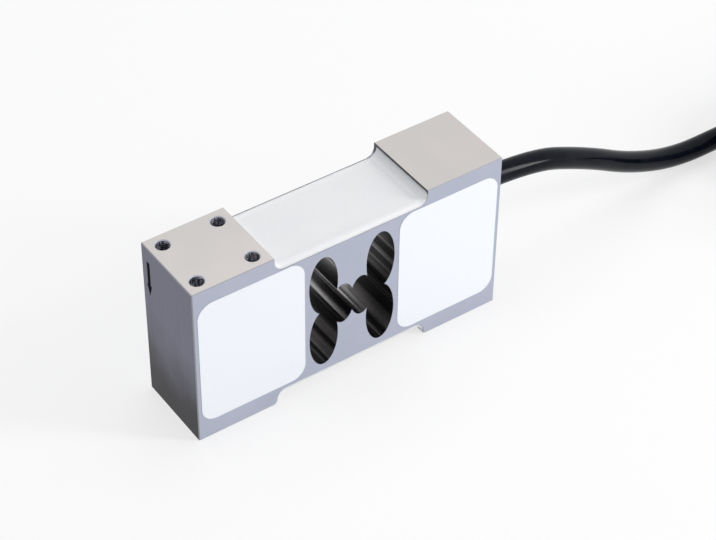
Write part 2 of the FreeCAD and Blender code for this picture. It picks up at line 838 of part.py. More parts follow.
def hank_section():
    """The hank's section on one side, as (distance from its long axis, height) corners, anticlockwise from below."""
    radius, reach, corner = value("fold_radius"), value("cable_diameter / 2 + hank_margin"), value("hank_corner")
    low, high = CABLE_ROUTE[-1][2] - reach, last_turn_height() + reach
    inner, outer = radius - reach, radius + reach
    return [
        (inner + corner, low),
        (outer - corner, low),
        (outer, low + corner),
        (outer, high - corner),
        (outer - corner, high),
        (inner + corner, high),
        (inner, high - corner),
        (inner, low + corner),
    ]


def near_fold():
    """The middle of the hank's fold that is next to the object."""
    x, y, z = CABLE_ROUTE[-1]
    return Vector(x + value("hank_entry_length"), y - value("fold_radius"), 0)


def last_turn_height():
    return CABLE_ROUTE[-1][2] + value("turn_pitch * (hank_turns - 1)")


def cable():
    """The free run and the hank: two straight sides, two folds, a straight lead-in and a straight end."""
    thick = value("cable_diameter")
    keep("cable_run", tube("cable_run", CABLE_ROUTE, thick, say="cable_run"))

    near, along, up = near_fold(), Vector(value("hank_run_length"), 0, 0), Vector(0, 0, 1)
    parts = []
    for fold, side in ((near, 1), (near + along, -1)):
        corners = [fold + Vector(0, side * away, height) for away, height in hank_section()]
        section = Part.Face(Part.makePolygon(corners + corners[:1]))
        parts += [section.revolve(fold, up, 180), section.extrude(along * side)]
    parts.append(Part.makeCylinder(thick / 2, value("hank_entry_length"), Vector(*CABLE_ROUTE[-1]), Vector(1, 0, 0)))
    leaving = near + Vector(0, -value("fold_radius"), last_turn_height())
    parts.append(Part.makeCylinder(thick / 2, value("hank_end_length"), leaving, Vector(-1, 0, 0)))
    hank = doc.addObject("Part::Feature", "cable_hank")
    hank.Shape = parts[0].fuse(parts[1:])
    return keep("cable_hank", hank)


def hank_tie():
    """A strap round both sides of the hank at its middle, with its square head outside."""
    gap, thick, width = value("tie_gap"), value("tie_thickness"), value("tie_width")
    middle = near_fold() + Vector(value("hank_run_length / 2"), 0, 0)
    right = [(away, height) for away, height in hank_section() if away > value("fold_radius")]
    corners = right + [(-away, height) for away, height in reversed(right)]
    outline = Part.makePolygon([middle + Vector(0, y, z) for y, z in corners + corners[:1]])
    inner, outer = (
        Part.Face(outline.makeOffset2D(away, 2, False, False)).extrude(Vector(width, 0, 0))
        for away in (gap, gap + thick)
    )
    strap = outer.cut(inner)
    strap.translate(Vector(-width / 2, 0, 0))
    head = value("tie_head")
    outside = max(away for away, height in right) + gap
    block = Part.makeBox(head, head / 2 + thick, head, middle + Vector(-head / 2, -outside - head / 2 - thick, head))
    tie = doc.addObject("Part::Feature", "hank_tie")
    tie.Shape = strap.fuse(block).removeSplitter()
    return keep("hank_tie", tie)


def bare_wire(name, start, length, tip, diameter):
    """A wire that leaves the jacket along -X and bends aside and down to its tip."""
    aside, fall = tip
    points = [start] + [
        start + Vector(-share * value(length), side_share * aside, -fall_share * fall)
        for share, side_share, fall_share in TAIL_STEPS
    ]
    return tube(name, [tuple(point) for point in points], value(diameter))


def bare_end():
    """The cut end of the cable: a shrunk sleeve, four cores and the shield's drain wire."""
    end = near_fold() + Vector(-value("hank_end_length"), -value("fold_radius"), last_turn_height())
    bore = value("cable_diameter / 2 + sleeve_gap")
    back = end + Vector(value("sleeve_length - sleeve_overhang"), 0, 0)
    outwards = Vector(-1, 0, 0)
    outside = Part.makeCylinder(bore + value("sleeve_wall"), value("sleeve_length"), back, outwards)
    sleeve = doc.addObject("Part::Feature", "end_sleeve")
    sleeve.Shape = outside.cut(Part.makeCylinder(bore, value("sleeve_length"), back, outwards))
    keep("end_sleeve", sleeve)
    offset = value("tail_core_offset")
    for colour, ((right, up), tip) in TAIL_CORES.items():
        start = end + Vector(0, right * offset, up * offset)
        keep(f"lead_{colour}", bare_wire(f"lead_{colour}", start, "tail_core_length", tip, "tail_core_diameter"))
    keep("lead_shield", bare_wire("lead_shield", end, "shield_length", SHIELD_TIP, "shield_diameter"))


def check_and_write():
    doc.recompute()
    for thing in doc.Objects:
        if {"Invalid", "Error"} & set(thing.State):
            raise ValueError(f"{thing.Name} is {thing.State}")
    for name, thing in nodes.items():
        shape = thing.Shape
        if shape.isNull() or not shape.isValid() or not shape.Solids:
            raise ValueError(f"{name} has no valid solid")
    os.makedirs("parts", exist_ok=True)
    for name, thing in nodes.items():
        thing.Shape.exportStep(f"parts/{name}.step")
        print(f"{name}: {len(thing.Shape.Solids)} solid(s), {thing.Shape.Volume:.2f} mm3")
    print(len(nodes), "nodes")


fill_sheet()
beam = spring_element()
load_arrow()
labels()
tabs = gauges()
terminal_board()
wires(tabs)
sealant()
grommet()
doc.recompute()
inside = [thing for name, thing in nodes.items() if name.startswith(("gauge", "terminal", "resistor", "core"))]
inside += [nodes["top_gauge_leads"], nodes["bottom_gauge_leads"]]
coating("top_coating", True, beam, inside)
coating("bottom_coating", False, beam, inside)
cable()
hank_tie()
bare_end()
check_and_write()
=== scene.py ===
import math
import random

import bmesh
import bpy
from mathutils import Matrix, Vector


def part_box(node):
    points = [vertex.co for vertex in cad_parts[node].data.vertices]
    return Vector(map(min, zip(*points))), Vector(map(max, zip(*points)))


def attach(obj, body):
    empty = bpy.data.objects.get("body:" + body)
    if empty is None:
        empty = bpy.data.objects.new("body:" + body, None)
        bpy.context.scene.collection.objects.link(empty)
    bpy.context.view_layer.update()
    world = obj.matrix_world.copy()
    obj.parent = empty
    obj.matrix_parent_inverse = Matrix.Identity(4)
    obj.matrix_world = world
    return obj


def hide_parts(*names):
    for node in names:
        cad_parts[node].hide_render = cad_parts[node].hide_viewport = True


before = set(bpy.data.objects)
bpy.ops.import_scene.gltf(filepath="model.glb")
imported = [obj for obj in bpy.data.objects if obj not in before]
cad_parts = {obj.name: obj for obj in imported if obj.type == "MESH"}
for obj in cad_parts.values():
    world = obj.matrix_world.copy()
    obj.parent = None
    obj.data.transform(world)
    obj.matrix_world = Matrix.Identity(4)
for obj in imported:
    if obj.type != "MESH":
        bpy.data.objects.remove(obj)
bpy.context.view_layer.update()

MM = 0.001

# The beam's box and the places on it that its finish and its new pieces follow, in metres.
BEAM_LOW, BEAM_HIGH = (Vector(corner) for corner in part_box("spring_element"))
BEAM_MIDDLE_HEIGHT = (BEAM_LOW.z + BEAM_HIGH.z) / 2
BEAM_HALF_THICKNESS = BEAM_HIGH.y
CUTOUT_HALF_LENGTH = 22.3 * MM
CUTOUT_HALF_HEIGHT = 29.7 * MM
RECESS_HALF = 37 * MM
RECESS_DEPTH = 7 * MM
RECESS_CORNER = 4.5 * MM
BOLT_MIDDLE = 56 * MM
BOLT_HALF_SPACING = 12.7 * MM
BORE_HEIGHT = 53 * MM

# An upright face is the beam's end past the first distance, and a step of the recess within the second.
END_FROM = 70 * MM
STEP_WITHIN = 40 * MM
# A slanted face this near the middle, along and across, is a countersink and not a broken edge.
COUNTERSINK_WITHIN_X, COUNTERSINK_WITHIN_Y = 74 * MM, 18 * MM
# The loaded end's painted shade comes up out of a painted black shadow between these heights.
SHADE_FROM, SHADE_TO = 25 * MM, 62 * MM

# The threads of the tapped holes.
THREAD_START = 0.5 * MM
THREAD_PITCH = 1 * MM
THREAD_TURNS = 17
THREAD_STEPS = 24

# The poured coatings: their thickness, the least of it over a corner, and the curves at walls and edges.
COAT_THICKNESS = 1.75 * MM
COAT_LEAST = 0.25 * MM
COAT_WALL_CURVE = 3.9 * MM
COAT_EDGE_CURVE = 1.6 * MM
# The bead along each long edge: its height, its distance from the edge and its width.
BEAD_HEIGHT, BEAD_PLACE, BEAD_WIDTH = 0.13 * MM, 2.4 * MM, 1.1 * MM
# The gaps to the recess's end walls and to the beam's faces, the grid and how its lines crowd outwards.
COAT_GAPS = (0.02 * MM, 0.08 * MM)
COAT_GRID = (120, 56)
COAT_CROWDING = 1.6
# How far the front and back edges lie in, evenly and by the ripples, in millimetres.
FRONT_INSET, BACK_INSET = (0.06, 0.06), (1.5, 0.25)
# The ripples: how many waves, their paces, their height, and how the front's differ from the back's.
RIPPLES, RIPPLE_PACES, RIPPLE_HEIGHT, RIPPLE_SHIFT = 6, (60, 330), 0.05 * MM, 1.7

# The camera, where it stands and what it aims at.
CAMERA_PLACE = Vector((-0.37926, -0.56001, 0.64966))
CAMERA_AIM = Vector((0.01134, -0.00694, 0.04097))
CAMERA_ROLL = math.radians(0.7)
CAMERA_LENS = 110.6

# The plain light: the world's strength and tint, then each lamp's name, place, power, size and tint.
WORLD_LIGHT, WORLD_TINT = 0.57, (0.97, 0.985, 1.0)
LAMPS = [
    ("strip_lamp", (0.88, -0.8, 0.6), 9.0, (0.26, 0.95), (1.0, 0.99, 0.97)),
    ("overhead_lamp", (0.1, 0.5, 1.5), 6.5, (1.2, 1.2), (1.0, 0.98, 0.96)),
]
LAMP_AIM = Vector((0, 0, 0.04))
FLOOR_HALF = 25
# The share of plain white in the floor that the camera and mirrors see.
FLOOR_WHITE = 0.65

# The cable's route from the bore to the hank, as its control points.
CABLE_DIAMETER = 10 * MM
CABLE_ROUTE = [
    (0.064, 0, 0.053),
    (0.104, 0, 0.053),
    (0.139, 0.002, 0.037),
    (0.170, 0.004, 0.018),
    (0.200, 0.006, 0.0065),
    (0.230, 0.006, 0.0065),
]
# The hank: the middles of its two folds, and each turn's height, shortfall at the far fold and narrowing.
FOLD_RADIUS = 30 * MM
NEAR_FOLD = Vector((0.257, -0.024, 0))
FAR_FOLD = Vector((0.387, -0.024, 0))
HANK_TURNS = [(6.5 * MM, 0, 0), (16.6 * MM, 1.6 * MM, 0.3 * MM), (26.7 * MM, 0.6 * MM, 0.1 * MM)]
FOLD_STEPS = 8
# How far along a run its points are, and how far the tie draws each of them in.
RUN_SHARES = ((0.25, 1.2 * MM), (0.5, 2.4 * MM), (0.75, 1.2 * MM))
# The last run: how far along the beam's direction its points lie, and then the jacket's cut end.
LAST_RUN = (0.257, 0.2385)
CABLE_END = Vector((0.220, -0.054, 0.0267))

# The tie round the hank: how far the hank's sides are drawn in there, and its strap.
WAIST = 2.1 * MM
STRAP_LOW, STRAP_HIGH = 1.2 * MM, 31.9 * MM
STRAP_CORNER = 5.2 * MM
STRAP_WIDTH = 4.5 * MM
STRAP_THICKNESS = 1.1 * MM

# The bare end: each core's place in the jacket and its tip's distances aside and below, in millimetres.
LEAD_LENGTH, LEAD_DIAMETER, LEAD_OFFSET = 33, 1.4, 1.6
LEADS = {
    "red": ((1, 1), (13, 9)),
    "black": ((-1, 1), (-12, 8)),
    "green": ((1, -1), (5, 12)),
    "white": ((-1, -1), (-5, 13)),
}
SHIELD_LENGTH, SHIELD_TIP = 26, (2, 8)
# A lead's points: the shares of its length, of its way aside and of its fall.
LEAD_STEPS = [(0, 0, 0), (0.28, 0, 0), (0.64, 0.35, 0.25), (1, 1, 1)]
# The tinned strands: how many, and in millimetres their radius, distance from the middle and hidden length.
STRANDS, STRAND_RADIUS, STRAND_PLACE, STRAND_HIDDEN = 3, 0.2, 0.22, 0.5
# Where along its last run a core is stripped, and how far the shield's strands turn from point to point.
STRIPPED_FROM = 0.55
SHIELD_TWIST = 0.8


# Helpers for meshes


def mesh_object(mesh, name, *finishes, smooth=True):
    """Turns a finished bmesh into an object with its finishes."""
    bmesh.ops.remove_doubles(mesh, verts=mesh.verts, dist=1e-7)
    bmesh.ops.recalc_face_normals(mesh, faces=mesh.faces)
    data = bpy.data.meshes.new(name)
    mesh.to_mesh(data)
    mesh.free()
    data.polygons.foreach_set("use_smooth", [smooth] * len(data.polygons))
    for finish in finishes:
        data.materials.append(finish)
    thing = bpy.data.objects.new(name, data)
    bpy.context.scene.collection.objects.link(thing)
    return thing


def piece(thing, slot, *replaced):
    """Makes an object a piece of the load cell, which is one body."""
    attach(thing, "root")
    if replaced:
        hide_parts(*replaced)
    return thing


def crisp(thing, angle):
    """Keeps a smooth piece's edges sharp where its faces turn by more than an angle in degrees."""
    mesh = bmesh.new()
    mesh.from_mesh(thing.data)
    for edge in mesh.edges:
        edge.smooth = edge.calc_face_angle(0) < math.radians(angle)
    mesh.to_mesh(thing.data)
    mesh.free()
    return thing


def turned(profile, centre, axis, steps=64):
    """A closed ring turned from a profile of (distance along the axis, radius) points in millimetres."""
    mesh = bmesh.new()
    along, out = Vector(axis) * MM, Vector((0, 1, 0)) * MM
    points = [
        mesh.verts.new(Vector(centre) + along * distance + out * radius)
        for distance, radius in profile
    ]
    edges = [mesh.edges.new(pair) for pair in zip(points, points[1:] + points[:1])]
    bmesh.ops.spin(
        mesh, geom=points + edges, cent=centre, axis=axis, angle=2 * math.pi, steps=steps, use_merge=True
    )
    return mesh


def nurbs(name, points, radius, finish, resolution, sides):
    """A round cord along the smooth line that its control points pull."""
    curve = bpy.data.curves.new(name, "CURVE")
    curve.dimensions = "3D"
    curve.bevel_depth = 1
    curve.bevel_resolution = sides
    curve.resolution_u = resolution
    curve.use_fill_caps = True
    spline = curve.splines.new("NURBS")
    spline.points.add(len(points) - 1)
    for point, spot in zip(spline.points, points):
        point.co, point.radius = (*spot, 1), radius
    spline.order_u = 3
    spline.use_endpoint_u = True
    curve.materials.append(finish)
    thing = bpy.data.objects.new(name, curve)
    bpy.context.scene.collection.objects.link(thing)
    return thing


def add_cord(mesh, points, radius, resolution, sides, place=0):
    """Adds a thin cord's skin to a bmesh, with the place of its finish."""
    cord = nurbs("thin_cord", points, radius, STRAND, resolution, sides)
    skin, curve = bpy.data.meshes.new_from_object(cord), cord.data
    bpy.data.objects.remove(cord)
    bpy.data.curves.remove(curve)
    before = len(mesh.faces)
    mesh.from_mesh(skin)
    bpy.data.meshes.remove(skin)
    mesh.faces.ensure_lookup_table()
    for face in mesh.faces[before:]:
        face.material_index = place
    return mesh


# Helpers for finishes


class Finish:
    """A finish under making: a material, its shader and short ways to add nodes to it."""

    # The sockets of a colour mix: its share, its two colours and what comes out.
    MIX_SHARE, MIX_FIRST, MIX_SECOND, MIX_COLOUR = 0, 6, 7, 2

    def __init__(self, name, colour, roughness, metallic=0.0, **sockets):
        self.material = bpy.data.materials.new(name)
        self.material.use_nodes = True
        self.tree = self.material.node_tree
        self.shader = self.tree.nodes["Principled BSDF"]
        self.material.diffuse_color = (*colour, 1)
        numbers = dict(Base_Color=(*colour, 1), Roughness=roughness, Metallic=metallic, **sockets)
        for socket, number in numbers.items():
            self.shader.inputs[socket.replace("_", " ")].default_value = number

    def add(self, kind, inputs=(), **settings):
        node = self.tree.nodes.new(kind)
        for name, setting in settings.items():
            setattr(node, name, setting)
        for name, source in dict(inputs).items():
            self.join(source, node.inputs[name])
        return node

    def join(self, source, socket):
        if isinstance(source, bpy.types.NodeSocket):
            self.tree.links.new(source, socket)
        else:
            socket.default_value = source

    def feed(self, **sockets):
        for name, source in sockets.items():
            self.join(source, self.shader.inputs[name.replace("_", " ")])

    def place(self, stretch):
        """Object coordinates, stretched so that a pattern runs long where its number is small."""
        spot = self.add("ShaderNodeTexCoord").outputs["Object"]
        return self.add("ShaderNodeMapping", {"Vector": spot, "Scale": stretch}).outputs[0]

    def noise(self, scale, stretch=(1, 1, 1), detail=4.0, roughness=0.55):
        inputs = {"Vector": self.place(stretch), "Scale": scale, "Detail": detail, "Roughness": roughness}
        return self.add("ShaderNodeTexNoise", inputs).outputs["Fac"]

    def spread(self, source, low, high, out_low=0.0, out_high=1.0, kind="LINEAR"):
        inputs = {"Value": source, "From Min": low, "From Max": high, "To Min": out_low, "To Max": out_high}
        return self.add("ShaderNodeMapRange", inputs, interpolation_type=kind).outputs[0]

    def math(self, operation, first, second=0.0):
        return self.add("ShaderNodeMath", {0: first, 1: second}, operation=operation).outputs[0]

    def under(self, source, limit):
        return self.math("LESS_THAN", source, limit)

    def over(self, source, limit):
        return self.math("GREATER_THAN", source, limit)

    def all_of(self, first, *others):
        """The masks multiplied, which is one only where each of them is one."""
        for other in others:
            first = self.math("MULTIPLY", first, other)
        return first

    def blend(self, share, first, second):
        node = self.add("ShaderNodeMix", data_type="RGBA")
        self.join(share, node.inputs[self.MIX_SHARE])
        for place, source in ((self.MIX_FIRST, first), (self.MIX_SECOND, second)):
            self.join((*source, 1) if isinstance(source, tuple) else source, node.inputs[place])
        return node.outputs[self.MIX_COLOUR]

    def bump(self, height, strength, distance, below=None):
        inputs = {"Height": height, "Strength": strength, "Distance": distance}
        if below is not None:
            inputs["Normal"] = below
        return self.add("ShaderNodeBump", inputs).outputs[0]


def two_tone(name, dark, light, roughness, metallic=0.0, scale=900, depth=0.1, **sockets):
    """Two close colours that a fine noise mixes, with the same noise in the roughness and the bump."""
    thing = Finish(name, dark, roughness, metallic, **sockets)
    fine = thing.noise(scale)
    thing.feed(
        Base_Color=thing.blend(thing.spread(fine, 0.35, 0.65), dark, light),
        Roughness=thing.spread(fine, 0.3, 0.7, roughness * 0.85, min(roughness * 1.2, 1.0)),
        Normal=thing.bump(fine, depth, 0.0001),
    )
    return thing.material


def dressed(finish, *nodes):
    """Gives a finish to CAD nodes, in every material slot that they have."""
    for name in nodes:
        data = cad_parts[name].data
        if not data.materials:
            data.materials.append(finish)
        for place in range(len(data.materials)):
            data.materials[place] = finish


# The metal of the beam


def beam_metal():
    """Milled aluminium, warm and even above and cool at the sides as painted light, sawn at the ends, with
    painted shade on the loaded end, in the recess and in the cutout.
    """
    metal = Finish("beam_metal", (0.5, 0.51, 0.56), 0.42, 0.55)
    coordinates = metal.add("ShaderNodeTexCoord")
    facing = metal.add("ShaderNodeSeparateXYZ", {0: coordinates.outputs["Normal"]})
    spot = metal.add("ShaderNodeSeparateXYZ", {0: coordinates.outputs["Object"]})
    along, across, up = (metal.math("ABSOLUTE", facing.outputs[k]) for k in range(3))
    distance, width = (metal.math("ABSOLUTE", spot.outputs[k]) for k in range(2))
    height = metal.math("ABSOLUTE", metal.math("SUBTRACT", spot.outputs[2], BEAM_MIDDLE_HEIGHT))

    ground = metal.noise(1300, (0.06, 1, 1), 5, 0.7)
    sawn = metal.noise(640, (1, 1, 0.02), 5, 0.7)
    mottled = metal.noise(38, (1, 1, 1), 3, 0.5)
    grained = metal.noise(3000, (1, 1, 1), 2, 0.6)
    streaked = metal.noise(190, (1, 0.003, 1), 2, 0.5)

    level = metal.spread(up, 0.75, 0.95)
    upright = metal.spread(along, 0.75, 0.95)
    end = metal.all_of(upright, metal.over(distance, END_FROM))
    loaded_end = metal.all_of(upright, metal.under(spot.outputs[0], -END_FROM))
    # The recess's steps get a near-black colour below, which is painted shade.
    step = metal.all_of(upright, metal.under(distance, STEP_WITHIN))
    in_cutout = metal.all_of(
        metal.under(distance, CUTOUT_HALF_LENGTH), metal.under(height, CUTOUT_HALF_HEIGHT)
    )
    cut = metal.all_of(in_cutout, metal.under(across, 0.5))
    # The recess floor beside the coating gets a dark grey below, which is painted shade.
    recess_floor_shade = metal.all_of(
        level, metal.under(distance, RECESS_HALF), metal.over(height, CUTOUT_HALF_HEIGHT)
    )
    steepest = metal.math("MAXIMUM", metal.math("MAXIMUM", along, across), up)
    slant = metal.all_of(metal.spread(steepest, 0.9, 0.78), metal.over(distance, RECESS_HALF))
    inward = metal.all_of(
        metal.under(distance, COUNTERSINK_WITHIN_X), metal.under(width, COUNTERSINK_WITHIN_Y)
    )
    countersink = metal.all_of(slant, inward)

    # The warm tone of the up-facing faces and the cool tone of the sides are painted light: lit and shaded
    # copies of one metal, set by the way its faces turn.
    cool = metal.blend(metal.spread(mottled, 0.3, 0.7), (0.425, 0.462, 0.56), (0.46, 0.478, 0.585))
    cool = metal.blend(metal.spread(ground, 0.35, 0.65, 0.0, 0.35), cool, (0.50, 0.52, 0.62))
    warm = metal.blend(metal.spread(mottled, 0.35, 0.65), (0.51, 0.49, 0.475), (0.545, 0.51, 0.50))
    saw_marks = metal.all_of(end, metal.spread(sawn, 0.35, 0.7, 0.1, 0.5))
    # The loaded end is painted dark as painted shade, and it fades to a painted black shadow towards its
    # bottom.
    shade_edge = metal.math("ADD", spot.outputs[2], metal.math("MULTIPLY", mottled, 0.03))
    above_shade = metal.spread(shade_edge, SHADE_FROM, SHADE_TO, kind="SMOOTHSTEP")
    dark = metal.blend(metal.spread(sawn, 0.3, 0.7), (0.125, 0.127, 0.178), (0.147, 0.15, 0.208))
    dark = metal.blend(above_shade, (0.006, 0.006, 0.01), dark)
    # The cutout's walls get a dark colour with light streaks along the thickness: painted shade with
    # painted reflection streaks.
    streak_highlights = metal.spread(streaked, 0.47, 0.66, kind="SMOOTHSTEP")
    cut_shade_and_streaks = metal.blend(streak_highlights, (0.042, 0.04, 0.043), (0.4, 0.385, 0.385))

    colour = metal.blend(level, cool, warm)
    for share, finish in (
        (saw_marks, (0.34, 0.36, 0.43)),
        (loaded_end, dark),
        (step, (0.07, 0.07, 0.09)),
        (recess_floor_shade, (0.2, 0.2, 0.225)),
        (cut, cut_shade_and_streaks),
        (slant, (0.36, 0.36, 0.39)),
        (countersink, (0.5, 0.5, 0.55)),
    ):
        colour = metal.blend(share, colour, finish)

    rough = metal.spread(grained, 0.3, 0.7, 0.38, 0.48)
    rough = metal.math("ADD", rough, metal.spread(cut, 0, 1, 0, -0.14))
    rough = metal.math("ADD", rough, metal.spread(slant, 0, 1, 0, 0.25))
    normal = metal.bump(ground, 0.08, 0.0001)
    normal = metal.bump(metal.math("MULTIPLY", sawn, end), 0.5, 0.0002, normal)
    metal.feed(
        Base_Color=colour,
        Metallic=metal.spread(cut, 0, 1, 0.55, 0.95),
        Roughness=rough,
        Normal=metal.bump(grained, 0.06, 0.0001, normal),
    )
    return metal.material


def thread_metal():
    """Cut threads painted dark as painted shade, with a painted glint on a bright flank here and there."""
    metal = Finish("thread_metal", (0.12, 0.12, 0.14), 0.28, 1.0)
    scratches_and_glints = metal.noise(1500, (1, 1, 0.25), 3)
    metal.feed(
        Base_Color=metal.blend(metal.spread(scratches_and_glints, 0.45, 0.7), (0.02, 0.02, 0.028), (0.3, 0.3, 0.34)),
        Roughness=metal.spread(scratches_and_glints, 0.3, 0.7, 0.22, 0.36),
    )
    return metal.material


def thread(mesh, x, y, start, way):
    """One internal thread: a ridge that winds down the hole from its countersink, closed at both ends."""
    # Each point of the ridge's section is a radius in millimetres and a share of the pitch.
    section = [(3.02, 0.06), (2.5, 0.42), (2.5, 0.52), (3.02, 0.88)]
    points = [
        mesh.verts.new((x + radius * MM, y, start + way * share * THREAD_PITCH))
        for radius, share in section
    ]
    first = mesh.faces.new(points)
    bmesh.ops.spin(
        mesh,
        geom=[first, *first.edges, *points],
        cent=(x, y, start),
        axis=(0, 0, -way),
        dvec=(0, 0, way * THREAD_PITCH / THREAD_STEPS),
        angle=2 * math.pi * THREAD_TURNS,
        steps=THREAD_STEPS * THREAD_TURNS,
    )


def threads():
    """The threads of both squares of holes, those on top and those underneath."""
    for name, x, start, way in (
        ("load_hole_threads", -BOLT_MIDDLE, BEAM_HIGH.z - THREAD_START, -1),
        ("base_hole_threads", BOLT_MIDDLE, BEAM_LOW.z + THREAD_START, 1),
    ):
        mesh = bmesh.new()
        for along in (-1, 1):
            for across in (-1, 1):
                thread(mesh, x + along * BOLT_HALF_SPACING, across * BOLT_HALF_SPACING, start, way)
        piece(crisp(mesh_object(mesh, name, THREAD_METAL), 20), "beam")


# The poured coatings


def coating_silicone():
    """Soft, slightly translucent white silicone with a slow unevenness and fine dust."""
    coat = Finish(
        "coating_silicone",
        (0.78, 0.79, 0.81),
        0.3,
        Subsurface_Weight=0.3,
        Subsurface_Radius=(0.5, 0.5, 0.5),
        Subsurface_Scale=0.003,
        Coat_Weight=0.2,
        Coat_Roughness=0.25,
        IOR=1.42,
    )
    slow = coat.noise(45, (0.6, 1, 1), 2)
    dust = coat.noise(2200, (1, 1, 1), 2)
    coat.feed(
        Base_Color=coat.blend(coat.spread(slow, 0.3, 0.7), (0.785, 0.795, 0.82), (0.82, 0.825, 0.84)),
        Roughness=coat.spread(dust, 0.35, 0.65, 0.26, 0.38),
        Normal=coat.bump(slow, 0.15, 0.001, coat.bump(dust, 0.03, 0.0001)),
    )
    return coat.material


def drawn_up(distance, radius):
    """How high a hollow corner of a radius stands at a distance from its wall."""
    inside = min(max(distance, 0), radius)
    return radius - math.sqrt(max(radius**2 - (radius - inside) ** 2, 0))


def poured_height(from_wall, from_edge):
    """How high the poured face stands: level, drawn up the end walls and down to the long edges."""
    floor = drawn_up(from_wall, RECESS_CORNER)
    bead = BEAD_HEIGHT * math.exp(-(((from_edge - BEAD_PLACE) / BEAD_WIDTH) ** 2))
    height = COAT_THICKNESS + drawn_up(from_wall, COAT_WALL_CURVE) + bead
    height = max(height, floor + COAT_LEAST + bead)
    return height - drawn_up(from_edge, COAT_EDGE_CURVE) * min((height - floor) / COAT_THICKNESS, 1)


def coating(name, floor, way, node):
    """A poured coating on a recess's floor, on the side that the floor faces, with uneven long edges."""
    half_x, half_y = RECESS_HALF - COAT_GAPS[0], BEAM_HALF_THICKNESS - COAT_GAPS[1]
    mesh = bmesh.new()
    bmesh.ops.create_grid(mesh, x_segments=COAT_GRID[0], y_segments=COAT_GRID[1], size=1)
    under = mesh.verts[:]
    made = bmesh.ops.extrude_face_region(mesh, geom=mesh.faces[:])["geom"]
    over = [part for part in made if isinstance(part, bmesh.types.BMVert)]
    chance = random.Random(7)
    ripples = [(chance.uniform(0, 6.28), chance.uniform(*RIPPLE_PACES)) for _ in range(RIPPLES)]
    for vertices, poured in ((under, False), (over, True)):
        for vertex in vertices:
            side_x, side_y = math.copysign(1, vertex.co.x), math.copysign(1, vertex.co.y)
            share_x, share_y = (1 - (1 - min(abs(k), 1)) ** COAT_CROWDING for k in vertex.co.xy)
            x, y = side_x * share_x * half_x, side_y * share_y * half_y
            waves = [math.sin(x * pace + phase + RIPPLE_SHIFT * side_y) for phase, pace in ripples]
            ripple = sum(waves) / len(waves)
            from_wall, from_edge = half_x - abs(x), half_y - abs(y)
            height = drawn_up(from_wall, RECESS_CORNER)
            if poured:
                height = poured_height(from_wall, from_edge) + RIPPLE_HEIGHT * ripple * share_y**2
            # The high power draws in only the grid's outermost lines.
            even, uneven = BACK_INSET if side_y > 0 else FRONT_INSET
            y -= side_y * share_y**6 * (even + uneven * ripple) * MM
            vertex.co = Vector((x, y, floor + way * height))
    return piece(mesh_object(mesh, name, SILICONE), "coating", node)


# The cable and what is on it


def jacket_rubber():
    """A glossy black jacket with a faint grain and a few duller places."""
    jacket = Finish("jacket_rubber", (0.006, 0.007, 0.01), 0.12, Specular_IOR_Level=0.11)
    grain = jacket.noise(1800, (1, 1, 1), 3)
    scuff = jacket.noise(110, (1, 1, 1), 4)
    duller = jacket.spread(scuff, 0.4, 0.75)
    jacket.feed(
        Base_Color=jacket.blend(duller, (0.002, 0.003, 0.006), (0.007, 0.008, 0.014)),
        Roughness=jacket.spread(scuff, 0.4, 0.75, 0.1, 0.2),
        Normal=jacket.bump(grain, 0.05, 0.0001),
    )
    return jacket.material


def fold_spoke(angle, radius):
    """From a fold's middle to its line, at an angle in degrees from the beam's direction."""
    return Vector((math.cos(math.radians(angle)), math.sin(math.radians(angle)), 0)) * radius


def hank_points():
    """The hank's control points: each turn runs out, round the far fold, back and round the near fold."""
    points = []
    for turn, (height, short, narrow) in enumerate(HANK_TURNS):
        radius, up = FOLD_RADIUS - narrow, Vector((0, 0, height))
        far = FAR_FOLD - Vector((short, 0, 0))
        sides = [(share, Vector((0, radius - drawn, 0))) for share, drawn in RUN_SHARES]
        points += [NEAR_FOLD.lerp(far, share) + side + up for share, side in sides]
        points += [far + fold_spoke(90 - 180 * k / FOLD_STEPS, radius) + up for k in range(FOLD_STEPS + 1)]
        points += [far.lerp(NEAR_FOLD, share) - side + up for share, side in sides]
        if turn + 1 < len(HANK_TURNS):
            climb = HANK_TURNS[turn + 1][0] - height
            for k in range(FOLD_STEPS + 1):
                share = k / FOLD_STEPS
                rise = height + climb * share * share * (3 - 2 * share)
                points.append(NEAR_FOLD + fold_spoke(270 - 180 * share, radius) + Vector((0, 0, rise)))
    return points + [Vector((x, CABLE_END.y, CABLE_END.z)) for x in (*LAST_RUN, CABLE_END.x)]


def cable():
    """The whole cable: from inside the bore down to the surface, along it and into the hank."""
    lead_in = NEAR_FOLD + Vector((0, FOLD_RADIUS, HANK_TURNS[0][0]))
    route = [Vector(point) for point in CABLE_ROUTE] + [lead_in] + hank_points()
    thing = nurbs("cable", route, CABLE_DIAMETER / 2, JACKET, resolution=8, sides=8)
    return piece(thing, "cable_jacket", "cable_run", "cable_hank")


def grommet():
    """A moulded grommet: a stem in the bore, a round-edged flange and a tapered nose with two grooves."""
    profile = [
        (66, 5.1), (66, 6.18), (75, 6.18), (75, 7.8), (75.15, 8.1), (75.5, 8.2), (76.9, 8.2),
        (77.3, 8.1), (77.5, 7.8), (77.6, 7.1), (77.9, 6.85), (78.9, 6.7), (79.1, 6.3), (79.7, 6.27),
        (79.9, 6.55), (80.9, 6.4), (81.1, 6.05), (81.7, 6.02), (81.9, 6.25), (82.6, 6.1), (82.9, 5.9),
        (83, 5.6), (83, 5.1),
    ]
    mesh = turned(profile, (0, 0, BORE_HEIGHT), (1, 0, 0))
    return piece(crisp(mesh_object(mesh, "grommet", GROMMET_RUBBER), 40), "grommet_rubber", "cable_grommet")


